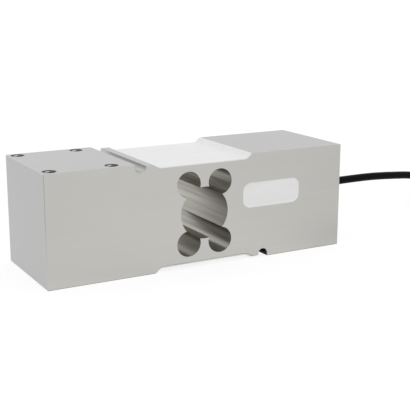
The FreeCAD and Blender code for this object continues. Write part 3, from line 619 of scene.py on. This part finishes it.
WHITE, ALONG_X, ALONG_Y = (1.0, 1.0, 1.0, 1.0), (1.0, 0.0, 0.0, 1.0), (0.0, 1.0, 0.0, 1.0)
# Painted light per face: the sides and the top, bottom and ends take different copies of the metal's colour,
# each set to the tone that face shows under the light.
SIDE_PAINTED_TONE = (0.575, 0.568, 0.541)  # the sides
TOP_END_PAINTED_TONE = (0.515, 0.515, 0.513)  # the top, the bottom and the ends
# Painted shade: the bores and the mounting holes take a darker, warmer copy of the metal's colour.
BORE_PAINTED_SHADE_TONE = (0.505, 0.494, 0.458)  # the bores and the mounting holes
HIGHLIGHT_STRETCH = 0.8  # 0 is round
MARK_DEPTH = 0.006 * MM
EDGE_TINT = (0.56, 0.55, 0.51, 1.0)  # what the bores mirror at a low angle
# The box round the five bores, a little inside the block's front and back.
BORED_MIDDLE = (0, 0, block_high.z / 2)
BORED_HALF = (18.2 * MM, block_high.y - 0.2 * MM, 25.2 * MM)
# The mounting holes: their spacing along X and their distance from the middle plane, the middle between
# them, the radii of mouth and wall, and how much painted shade and painted highlight make them darker or
# lighter than the block.
HOLE_SPACING, HOLE_SIDE = 35.5 * MM, block_high.y - 5.75 * MM
HOLE_MIDDLE = block_high.x - 5.3 * MM - HOLE_SPACING / 2
HOLE_MOUTH, HOLE_WALL = 3.95 * MM, 3.46 * MM
GLINT, HOLE_PAINTED_SHADE, HOLE_PAINTED_HIGHLIGHT, MOUTH_PAINTED_SHADE = (0.88, 1.0), 0.42, 1.25, 0.17


def make_finishes():
    """One material for each of the record's slots."""
    return {
        "body_aluminium": aluminium(),
        "white_silicone": silicone(),
        "cable_jacket": jacket(),
        "gauge_film": plastic("gauge_film", (0.72, 0.42, 0.12), Coat_Weight=0.6),
        "solder_tabs": metal("solder_tabs", (0.78, 0.55, 0.3)),
        "enamelled_wire": metal("enamelled_wire", (0.62, 0.28, 0.12)),
        "signal_wire": plastic("signal_wire", (0.85, 0.83, 0.78)),
        "circuit_board": plastic("circuit_board", (0.05, 0.25, 0.12), grain=300),
        "adhesive_pad": plastic("adhesive_pad", (0.8, 0.8, 0.78), depth=0.05),
        "resistor_case": plastic("resistor_case", (0.1, 0.1, 0.11)),
        "ferrule_metal": metal("ferrule_metal", (0.7, 0.62, 0.42)),
        "bare_wire": metal("bare_wire", (0.7, 0.69, 0.66), roughness=(0.2, 0.35)),
        "red_insulation": plastic("red_insulation", (0.55, 0.03, 0.022)),
        "black_insulation": plastic("black_insulation", (0.016, 0.016, 0.017)),
        "green_insulation": plastic("green_insulation", (0.03, 0.28, 0.08)),
        "white_insulation": plastic("white_insulation", (0.8, 0.8, 0.78)),
        "shield_sleeve": plastic("shield_sleeve", (0.72, 0.56, 0.05)),
        "tie_plastic": plastic("tie_plastic", (0.02, 0.02, 0.021), roughness=(0.3, 0.42)),
        "shrink_sleeve": plastic(
            "shrink_sleeve", (0.018, 0.018, 0.019), roughness=(0.4, 0.55), depth=0.04,
        ),
    }


finishes = make_finishes()
for node in nodes.values():
    slot_name = node.material_slots[0].material.name
    node.material_slots[0].material = finishes[slot_name]


def dress(thing, slot, body="root", stands_for=()):
    """Gives a new piece its finish and its body, and hides the nodes that it stands for."""
    thing.data.materials.append(finishes[slot])
    if stands_for:
        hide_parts(*stands_for)
    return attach(thing, body)


dress(cable, "cable_jacket", stands_for=["cable_run", "cable_coil", "cable_tail"])
for number, piece in enumerate(ties, start=1):
    dress(piece, "tie_plastic", stands_for=[f"coil_tie_{number}"])
dress(end_sleeve, "shrink_sleeve", stands_for=["cable_end_sleeve"])
for colour, piece in leads.items():
    slot = "shield_sleeve" if colour == "shield" else f"{colour}_insulation"
    dress(piece, slot, stands_for=[f"{colour}_lead"])
dress(tips, "bare_wire", stands_for=["lead_tips"])


# Silicone and threads of the block.

# The relief under the skin: its land lies this much below the block's face, and two slopes lead down to
# its floor.
LAND_DROP, LAND_SLOPE, FAR_SLOPE, FILLET = 1.1 * MM, math.radians(30), math.radians(45), 5.0 * MM
# The skin's thickness, and how far in from its sides and from its lips it takes to rise to that.
SKIN, SKIN_RIM, SKIN_LIP = 0.7 * MM, 0.45 * MM, 1.3 * MM
SKIN_STEP, SKIN_STEP_ACROSS, RIM_STEPS = 0.7 * MM, 0.9 * MM, 6
SKIN_LEVEL, SKIN_WIPED, SKIN_BROAD = 0.93, 0.035, 0.09  # shares of the skin's thickness


def rounded_corner(before, corner, after, radius, steps=10):
    """Points of the arc that rounds a corner of a line."""
    there, back = (after - corner).normalized(), (before - corner).normalized()
    half = back.angle(there) / 2
    middle = corner + (there + back).normalized() * radius / math.sin(half)
    start, end = (corner + way * radius / math.tan(half) - middle for way in (back, there))
    full = start.angle(end)
    points = []
    for step in range(steps + 1):
        share = step / steps
        turned = start * math.sin((1 - share) * full) + end * math.sin(share * full)
        points.append(middle + turned / math.sin(full))
    return points


def spaced(line, distances):
    """The points of a line at distances from its start, and the directions across it, upwards."""
    found = []
    for distance in distances:
        left = distance
        for here, there in zip(line, line[1:]):
            run = (there - here).length
            if left <= run or there is line[-1]:
                along = (there - here).normalized()
                found.append((here + along * min(left, run), Vector((-along.y, along.x))))
                break
            left -= run
    return found


def closer_at_ends(length, rim, step):
    """Distances along a length: close together where the rim rises at each end, and a step apart between."""
    near = [rim * (1 - math.cos(math.pi / 2 * k / RIM_STEPS)) for k in range(RIM_STEPS + 1)]
    count = max(2, round((length - 2 * rim) / step))
    between = [rim + (length - 2 * rim) * k / count for k in range(1, count)]
    return near + between + [length - distance for distance in reversed(near)]


def rise(distance, length, rim):
    """0 at both ends of a length and 1 from the rim inwards, round as a quarter of a circle."""
    inwards = min(distance, length - distance, rim) / rim
    return math.sqrt(max(0, 1 - (1 - inwards) ** 2))


def gauge_skin(name, upside_down):
    """The silicone over the gauges: wiped by hand, thin at its lips and round along both sides."""
    low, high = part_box("upper_gauge_sealant")
    land, floor = high.z - LAND_DROP, low.z
    start, end = Vector((low.x, land)), Vector((high.x, high.z))
    first = Vector((low.x + (land - floor) / math.tan(LAND_SLOPE), floor))
    second = Vector((high.x - (high.z - floor) / math.tan(FAR_SLOPE), floor))
    line = [start, *rounded_corner(start, first, second, FILLET)]
    line += [*rounded_corner(first, second, end, FILLET), end]
    length = sum((there - here).length for here, there in zip(line, line[1:]))
    width = high.y - low.y
    rows = closer_at_ends(length, SKIN_LIP, SKIN_STEP)
    columns = closer_at_ends(width, SKIN_RIM, SKIN_STEP_ACROSS)
    over, under = [], []
    for distance, (spot, upwards) in zip(rows, spaced(line, rows)):
        for across in columns:
            y = low.y + across
            wiped = noise.noise(Vector((spot.x * 90 + y * 60, y * 500 - spot.x * 140, 3))) * SKIN_WIPED
            broad = noise.noise(Vector((spot.x * 70, y * 70, 9))) * SKIN_BROAD
            height = rise(distance, length, SKIN_LIP) * rise(across, width, SKIN_RIM)
            away = spot + upwards * SKIN * height * (SKIN_LEVEL + wiped + broad)
            over.append(Vector((away.x, y, min(away.y, high.z))))
            under.append(Vector((spot.x, y, spot.y)))
    if upside_down:
        over, under = ([Vector((-p.x, p.y, block_high.z - p.z)) for p in side] for side in (over, under))
    size = len(columns)
    count = len(over)
    points, faces = over + under, []

    def corner(row, column, below):
        """The point's number; along the border the two sides share their points."""
        border = row in (0, len(rows) - 1) or column in (0, size - 1)
        return row * size + column + (count if below and not border else 0)

    for row in range(len(rows) - 1):
        for column in range(size - 1):
            for below in (False, True):
                around = (row, column), (row, column + 1), (row + 1, column + 1), (row + 1, column)
                faces.append([corner(*place, below) for place in around])
    used = sorted({index for face in faces for index in face})
    numbers = {index: number for number, index in enumerate(used)}
    faces = [[numbers[index] for index in face] for face in faces]
    return mesh_object(name, [([points[index] for index in used], faces)])


def rounded_rectangle(low, high, inset, radius, y, steps=8):
    """A ring in a plane that faces along Y, an inset inside a box's outline."""
    radius = max(radius - inset, LEAST_RADIUS)
    points = []
    for corner, (x, z) in enumerate(((high.x, high.z), (low.x, high.z), (low.x, low.z), (high.x, low.z))):
        side_x, side_z = (1 if x == high.x else -1), (1 if z == high.z else -1)
        middle = Vector((x - side_x * (inset + radius), y, z - side_z * (inset + radius)))
        for step in range(steps + 1):
            turn = (corner + step / steps) * math.pi / 2
            points.append(middle + radius * Vector((math.cos(turn), 0, math.sin(turn))))
    return points


POCKET_RADIUS, LEAST_RADIUS = 5.0 * MM, 0.05 * MM
# How far the potting lies behind its solid's face, how uneven it is, and where its innermost ring stops.
POTTING_SUNK, POTTING_UNEVEN, POTTING_MIDDLE = 0.1 * MM, 0.05 * MM, 0.1 * MM
POTTING_RINGS = 9  # steps from the middle to the wall; the meniscus takes the last one
MENISCUS, MENISCUS_WIDTH = 0.3 * MM, 1.15 * MM
MENISCUS_SHARES = 0.8, 0.62, 0.46, 0.32, 0.2, 0.1, 0.03, 0


def pocket_fill():
    """The pocket's potting: level, a little uneven, and drawn up where it wets the pocket's wall."""
    low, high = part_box("pocket_sealant")
    furthest = (high.z - low.z) / 2 - POTTING_MIDDLE
    insets = [furthest * k / POTTING_RINGS for k in range(POTTING_RINGS, 1, -1)]
    insets += [MENISCUS_WIDTH * share for share in MENISCUS_SHARES]
    rings = []
    for inset in insets:
        drawn = MENISCUS * max(0, 1 - inset / MENISCUS_WIDTH) ** 2
        calm = min(inset / MENISCUS_WIDTH, 1)
        ring = []
        for point in rounded_rectangle(low, high, inset, POCKET_RADIUS, low.y + POTTING_SUNK - drawn):
            uneven = POTTING_UNEVEN * calm * noise.noise(Vector((point.x * 130, 4, point.z * 160)))
            ring.append(point + Vector((0, uneven, 0)))
        rings.append(ring)
    rings.append(rounded_rectangle(low, high, 0, POCKET_RADIUS, high.y))
    return mesh_object("pocket_potting", [loft(rings)])


THREAD_PITCH, THREAD_ROOT, THREAD_CREST = 1.25 * MM, 3.43 * MM, 3.12 * MM
THREAD_START, THREAD_TURNS, THREAD_STEPS, THREAD_FADE = 0.75 * MM, 13, 28, 6
# The ridge's half widths at its foot and its crest, in pitches, and its height where it has faded.
THREAD_FOOT, THREAD_TOP, FADED_RIDGE = 0.42, 0.09, 0.02 * MM


def thread(x, y, surface, inwards):
    """One hole's thread: a ridge that winds down the hole."""
    rings = []
    for step in range(THREAD_TURNS * THREAD_STEPS + 1):
        turn = 2 * math.pi * step / THREAD_STEPS
        depth = THREAD_START + THREAD_PITCH * step / THREAD_STEPS
        fade = min(1, step / THREAD_FADE, (THREAD_TURNS * THREAD_STEPS - step) / THREAD_FADE)
        crest = THREAD_ROOT - FADED_RIDGE - (THREAD_ROOT - THREAD_CREST) * fade
        section = [
            (THREAD_ROOT, -THREAD_FOOT), (crest, -THREAD_TOP),
            (crest, THREAD_TOP), (THREAD_ROOT, THREAD_FOOT),
        ]
        ring = []
        for radius, shift in section:
            height = surface + inwards * (depth + shift * THREAD_PITCH)
            ring.append(Vector((x + radius * math.cos(turn), y + radius * math.sin(turn), height)))
        rings.append(ring)
    return loft(rings)


def hole_threads():
    """The threads of all eight mounting holes: four in the top at -X, and four in the bottom at +X."""
    shells = []
    for end, surface, inwards in ((-1, block_high.z, -1), (1, 0, 1)):
        for column in (-1, 1):
            for row in (-1, 1):
                x = end * HOLE_MIDDLE + column * HOLE_SPACING / 2
                shells.append(thread(x, row * HOLE_SIDE, surface, inwards))
    return mesh_object("hole_threads", shells, crease=25)


COLLAR_SIDES, COLLAR_UNEVEN = 48, 0.25


def entry_collar():
    """The silicone that closes the cable's bore, with a bead round the cable at the mouth."""
    low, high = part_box("cable_entry_seal")
    outer, inner = (high.z - low.z) / 2, CABLE / 2 - 0.02 * MM
    mouth = high.x
    section = [  # along X, and away from the bore's axis
        (low.x, inner), (low.x, outer), (mouth - 0.1 * MM, outer),
        (mouth + 0.1 * MM, outer + 0.35 * MM), (mouth + 0.25 * MM, outer + 0.3 * MM),
        (mouth + 0.42 * MM, outer), (mouth + 0.5 * MM, inner + 0.25 * MM), (mouth + 0.46 * MM, inner),
    ]
    rings = []
    for step in range(COLLAR_SIDES):
        turn = 2 * math.pi * step / COLLAR_SIDES
        away = Vector((0, math.cos(turn), math.sin(turn)))
        uneven = 1 + COLLAR_UNEVEN * noise.noise(away * 1.7)
        ring = []
        for x, radius in section:
            proud = (x - mouth) * (uneven if x > mouth else 1)
            ring.append(Vector((mouth + proud, BORE_MOUTH.y, BORE_MOUTH.z)) + away * radius)
        rings.append(ring)
    return mesh_object("entry_collar", [loft(rings, loop=True)], crease=50)


for side, upside_down in (("upper", False), ("lower", True)):
    skin = gauge_skin(f"{side}_gauge_silicone", upside_down)
    dress(skin, "white_silicone", stands_for=[f"{side}_gauge_sealant"])
dress(pocket_fill(), "white_silicone", stands_for=["pocket_sealant"])
dress(entry_collar(), "white_silicone", stands_for=["cable_entry_seal"])
dress(hole_threads(), "body_aluminium")


# Stage: a white floor that keeps the shadow, a white world, and two soft lamps.

FLOOR_SHADOW, FLOOR_GLOW = 0.2, 0.84  # the floor as it is seen and mirrored
FLOOR_REACH, PAPER = 3, 0.8  # half its side, and its plain grey for all other rays
WORLD_SEEN, WORLD_LIGHT = 1.0, 0.88  # as it is seen and mirrored, and as it lights matt surfaces
# What metal mirrors: two sides of the room are dimmer, each a direction and the share of light it loses.
DIM_SIDES = [((0.95, -0.3, 0.05), 0.26), ((-0.9, -0.42, 0.1), 0.5)]
DIM_EDGE, DIM_FULL = 0.7, 0.98
NEAR_FLOOR, FAR_FLOOR = 0.14, 0.26  # how far out the mirrored floor starts to dim, and is as dim
# A painted shadow: a patch of the floor beside the block's right end is dimmer too, in what metal mirrors.
PAINTED_SHADOW_MIDDLE, PAINTED_SHADOW_REACH, PAINTED_SHADOW_LOSS = (0.128, -0.052, 0.0), 0.078, 0.27
# Each lamp's place, size and power.
LAMPS = {"top": ((0.15, 0.5, 1.1), 0.35, 0.6), "fill": ((0.1, -1.2, 0.45), 0.9, 1.0)}


def room_light(look, direction, counted=1.0):
    """The share of light that comes from a direction of the room, where so much of the loss is counted."""
    total = 1.0
    for side, loss in DIM_SIDES:
        near = look.node("VectorMath", direction, Vector(side).normalized(), operation="DOT_PRODUCT")
        near = near.outputs["Value"]
        share = look.add("MapRange", near, DIM_EDGE, DIM_FULL, interpolation_type="SMOOTHSTEP")
        lost = look.math("MULTIPLY", look.math("MULTIPLY", share, loss), counted)
        total = look.math("SUBTRACT", total, lost)
    return total


def make_stage():
    """A white floor. Metal mirrors it, but not under the block."""
    corners = [(x * FLOOR_REACH, y * FLOOR_REACH, 0) for x, y in ((-1, -1), (1, -1), (1, 1), (-1, 1))]
    floor = mesh_object("floor", [(corners, [(0, 1, 2, 3)])])
    material = bpy.data.materials.new("floor")
    material.use_nodes = True
    look = Nodes(material.node_tree)
    look.tree.nodes.clear()
    rays = look.node("LightPath").outputs
    seen = look.math("MAXIMUM", rays["Is Camera Ray"], rays["Is Glossy Ray"])
    seen = look.math("MAXIMUM", seen, rays["Is Transmission Ray"])
    here = look.node("NewGeometry").outputs["Position"]
    under = look.inside(here, (0, 0, 0), tuple(block_high))
    towards = look.add("VectorMath", here, operation="NORMALIZE")
    away = look.node("VectorMath", here, operation="LENGTH").outputs["Value"]
    room = room_light(look, towards, look.add("MapRange", away, NEAR_FLOOR, FAR_FLOOR))
    # Painted shadow: the floor glows dimmer for metal in a patch beside the block's right end.
    beside = look.node("VectorMath", here, PAINTED_SHADOW_MIDDLE, operation="DISTANCE").outputs["Value"]
    patch = PAINTED_SHADOW_REACH, 0.0, 0.0, PAINTED_SHADOW_LOSS
    darker = look.add("MapRange", beside, *patch, interpolation_type="SMOOTHSTEP")
    room = look.math("MULTIPLY", room, look.math("SUBTRACT", 1.0, darker))
    mirrored = look.math("MULTIPLY", look.math("SUBTRACT", 1.0, under), room)
    glow = look.add("MapRange", rays["Is Glossy Ray"], 0.0, 1.0, 1.0, mirrored)
    light = look.add("Emission", None, look.math("MULTIPLY", glow, FLOOR_GLOW))
    shadow = look.add("BsdfDiffuse", (FLOOR_SHADOW, FLOOR_SHADOW, FLOOR_SHADOW, 1.0))
    paper = look.add("BsdfDiffuse", (PAPER, PAPER, PAPER, 1.0))
    both = look.add("MixShader", seen, paper, look.add("AddShader", shadow, light))
    look.node("OutputMaterial", both)
    floor.data.materials.append(material)


def make_world():
    """White where it is seen, a plain soft light elsewhere."""
    world = bpy.data.worlds.new("studio")
    scene.world = world
    world.use_nodes = True
    look = Nodes(world.node_tree)
    background = look.tree.nodes["Background"]
    rays = look.node("LightPath").outputs
    towards = look.node("TexCoord").outputs["Generated"]
    mirrored = look.add("MapRange", rays["Is Glossy Ray"], 0.0, 1.0, WORLD_SEEN, room_light(look, towards))
    strength = look.add("MapRange", rays["Is Diffuse Ray"], 0.0, 1.0, mirrored, WORLD_LIGHT)
    look.put(background.inputs["Color"], WHITE)
    look.put(background.inputs["Strength"], strength)


def add_lamp(name, place, size, power):
    """A square area lamp that faces the block."""
    data = bpy.data.lights.new(name, "AREA")
    data.size, data.energy = size, power
    lamp = bpy.data.objects.new(name, data)
    lamp.location = place
    aim = Vector((0, 0, block_high.z / 2)) - lamp.location
    lamp.rotation_euler = aim.to_track_quat("-Z", "Y").to_euler()
    scene.collection.objects.link(lamp)


make_stage()
make_world()
for lamp_name, settings in LAMPS.items():
    add_lamp(lamp_name, *settings)

scene.view_settings.view_transform = "Standard"
